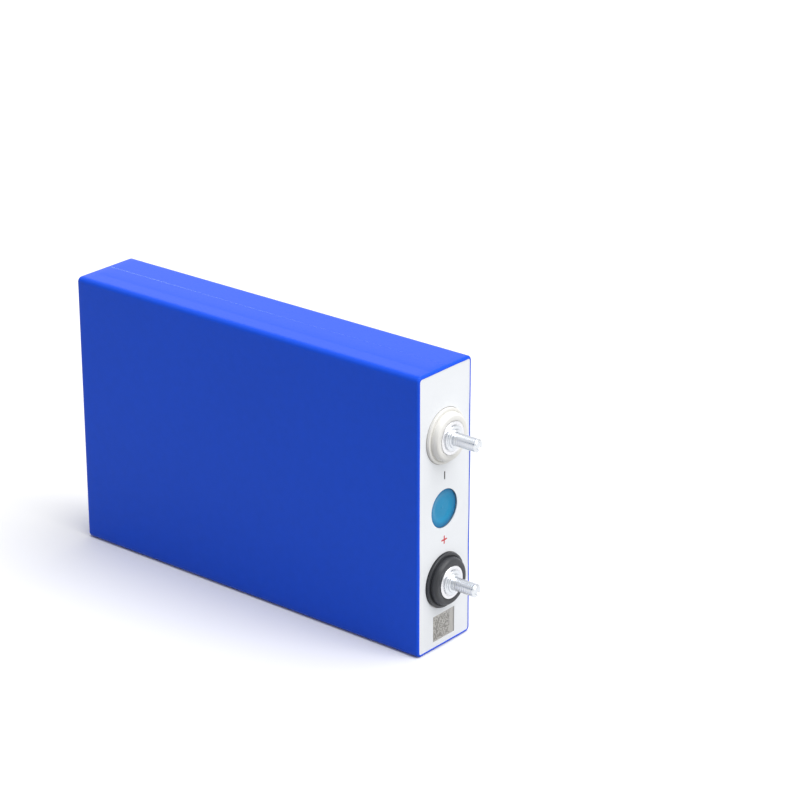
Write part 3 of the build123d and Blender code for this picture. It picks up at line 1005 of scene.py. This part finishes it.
etch_dark = mottled_material(
    "etched dots", (0.20, 0.19, 0.175, 1), 500.0, 4200.0, 0.3, 0.6, 0.2, 0.01 * MM
)[0]
window_z = MID_Z - WINDOW_FROM_MIDDLE
etching = grow(
    "etched_pattern", ETCHING, etch_dark, Width=10.6 * MM, Height=10.4 * MM, Columns=21, Rows=19,
    Dot=0.42 * MM, Thickness=0.03 * MM, Share=0.52, Seed=11,
    Place=(LID_X + 0.012 * MM, -1.2 * MM, window_z), Material=etch_dark,
)
finish_piece(etching, "aluminium")


# ---------------------------------------------------------------- finishes of the carried-over nodes
NODE_FINISHES = {
    "white_sheet": sheet_white,
    "aluminium": lid_metal,
    "bright_aluminium": rolled_finish("inner aluminium", (0.8, 0.8, 0.81, 1), 0.3),
    "copper": rolled_finish("rolled copper", (0.82, 0.40, 0.24, 1), 0.32),
    "vent_film": vent_blue,
    "blue_film": film_blue,
    "ivory_plastic": mottled_material(
        "ivory moulding", (0.66, 0.635, 0.575, 1), 160, 2400, 0.1, 0.46, 0.1, 0.02 * MM)[0],
    "black_plastic": mottled_material(
        "black moulding", (0.02, 0.02, 0.023, 1), 160, 2400, 0.1, 0.4, 0.1, 0.02 * MM)[0],
    "gasket": mottled_material(
        "gasket rubber", (0.025, 0.025, 0.027, 1), 200, 2600, 0.2, 0.62, 0.1, 0.03 * MM)[0],
    "inner_plastic": mottled_material(
        "inner moulding", (0.62, 0.62, 0.60, 1), 120, 2200, 0.1, 0.5, 0.1, 0.03 * MM)[0],
    "separator": mottled_material(
        "separator film", (0.78, 0.78, 0.77, 1), 80, 3000, 0.06, 0.55, 0.1, 0.01 * MM)[0],
    "anode_foil": mottled_material(
        "graphite coating", (0.035, 0.035, 0.038, 1), 120, 3600, 0.3, 0.7, 0.1, 0.02 * MM)[0],
    "cathode_foil": mottled_material(
        "phosphate coating", (0.06, 0.06, 0.064, 1), 120, 3600, 0.3, 0.75, 0.1, 0.02 * MM)[0],
    "tape": mottled_material(
        "green tape", (0.04, 0.22, 0.10, 1), 120, 1800, 0.12, 0.35, 0.1, 0.01 * MM)[0],
}

for part in frame["record"]["subparts"]:
    node = frame["nodes"].get(part["node"])
    if node is None:
        continue
    finish = NODE_FINISHES[part["material_slot"]]
    if not node.data.materials:
        node.data.materials.append(finish)
    for slot in node.material_slots:
        slot.material = finish


# ---------------------------------------------------------------- floor, light and camera
def sees_background(tree):
    """1 for camera, glossy and transmission rays, 0 for the rest."""
    path = tree.nodes.new("ShaderNodeLightPath")
    first = math_node(tree, "ADD", path.outputs["Is Camera Ray"], path.outputs["Is Glossy Ray"])
    return math_node(tree, "ADD", first.outputs[0], path.outputs["Is Transmission Ray"], clamp=True)


def build_floor():
    """Plain pale floor that keeps the cell's shadow."""
    material, tree, shader, place = start_material("pale floor")
    shade = noise(tree, 3.0, 2, 0.5)
    tree.links.new(place, shade.inputs["Vector"])
    tone = map_range(tree, shade.outputs["Fac"], 0.0, 1.0, 0.97, 1.0)
    seen = sees_background(tree)
    colour = mix_colour(tree, seen.outputs[0], (0.42, 0.42, 0.43, 1), (0.93, 0.93, 0.93, 1))
    varied = mix_colour(tree, 1.0, colour.outputs[2], tone.outputs[0], "MULTIPLY")
    tree.links.new(varied.outputs[2], shader.inputs["Base Color"])
    shader.inputs["Roughness"].default_value = 0.9
    shader.inputs["Specular IOR Level"].default_value = 0.1
    half = 6.0
    mesh = bpy.data.meshes.new("studio_floor")
    mesh.from_pydata([(-half, -half, 0), (half, -half, 0), (half, half, 0), (-half, half, 0)],
                     [], [(0, 1, 2, 3)])
    mesh.materials.append(material)
    floor = bpy.data.objects.new("studio_floor", mesh)
    bpy.context.scene.collection.objects.link(floor)
    return floor


build_floor()

world = bpy.data.worlds.new("studio")
world.use_nodes = True
bpy.context.scene.world = world
sky = world.node_tree
background = sky.nodes["Background"]
seen = sees_background(sky)
glow = map_range(sky, seen.outputs[0], 0.0, 1.0, 0.42, 1.0)
background.inputs["Color"].default_value = (0.98, 0.99, 1.0, 1)
sky.links.new(glow.outputs[0], background.inputs["Strength"])


def area_light(name, place, target, size, power, tint=(1, 1, 1)):
    """A soft rectangular lamp that faces a point."""
    data = bpy.data.lights.new(name, "AREA")
    data.shape = "RECTANGLE"
    data.size, data.size_y = size
    data.energy = power
    data.color = tint
    lamp = bpy.data.objects.new(name, data)
    lamp.location = place
    direction = Vector(target) - Vector(place)
    lamp.rotation_euler = direction.to_track_quat("-Z", "Y").to_euler()
    bpy.context.scene.collection.objects.link(lamp)
    return lamp


CENTRE = Vector(((BASE_X + LIP_X) / 2, 0, MID_Z))
area_light("terminal_softbox", (1.5, 0.25, 0.75), CENTRE, (0.9, 0.9), 8.0)


def overhead_sun():
    """Broad, even light from above that reaches the whole floor alike."""
    data = bpy.data.lights.new("overhead_light", "SUN")
    data.energy = 2.7
    data.angle = math.radians(60)
    lamp = bpy.data.objects.new("overhead_light", data)
    lamp.rotation_euler = Vector((-0.3, -0.12, -1.0)).to_track_quat("-Z", "Y").to_euler()
    bpy.context.scene.collection.objects.link(lamp)


def reflection_card():
    """Deep blue card beside the camera that only reflections show, to give the metal contrast."""
    material, tree, shader, place = start_material("blue card")
    shade = noise(tree, 4.0, 2, 0.5)
    tree.links.new(place, shade.inputs["Vector"])
    colour = mix_colour(tree, shade.outputs["Fac"], (0.03, 0.07, 0.16, 1), (0.06, 0.12, 0.25, 1))
    tree.links.new(colour.outputs[2], shader.inputs["Base Color"])
    centre = CENTRE + Vector((-0.70, -0.86, 0.46))
    side = Vector((-0.7756, 0.6312, 0.0)) * 0.42
    up = Vector((0.24, 0.29, 0.93)) * 0.17
    mesh = bpy.data.meshes.new("reflection_card")
    corners = [centre - side - up, centre + side - up, centre + side + up, centre - side + up]
    mesh.from_pydata([tuple(c) for c in corners], [], [(0, 1, 2, 3)])
    mesh.materials.append(material)
    card = bpy.data.objects.new("reflection_card", mesh)
    card.visible_camera = False
    card.visible_diffuse = False
    card.visible_shadow = False
    bpy.context.scene.collection.objects.link(card)


overhead_sun()
reflection_card()

camera_data = bpy.data.cameras.new("camera")
camera_data.sensor_width = 36
camera_data.lens = 125.1
camera_data.clip_start = 0.05
camera = bpy.data.objects.new("camera", camera_data)
camera.location = (LIP_X + 0.6705, -HALF_T - 0.8347, 0.5538)
aim = Vector((-0.5857, 0.7186, -0.3749))
camera.rotation_euler = aim.to_track_quat("-Z", "Y").to_euler()
bpy.context.scene.collection.objects.link(camera)
bpy.context.scene.camera = camera
bpy.context.scene.view_settings.view_transform = "Standard"
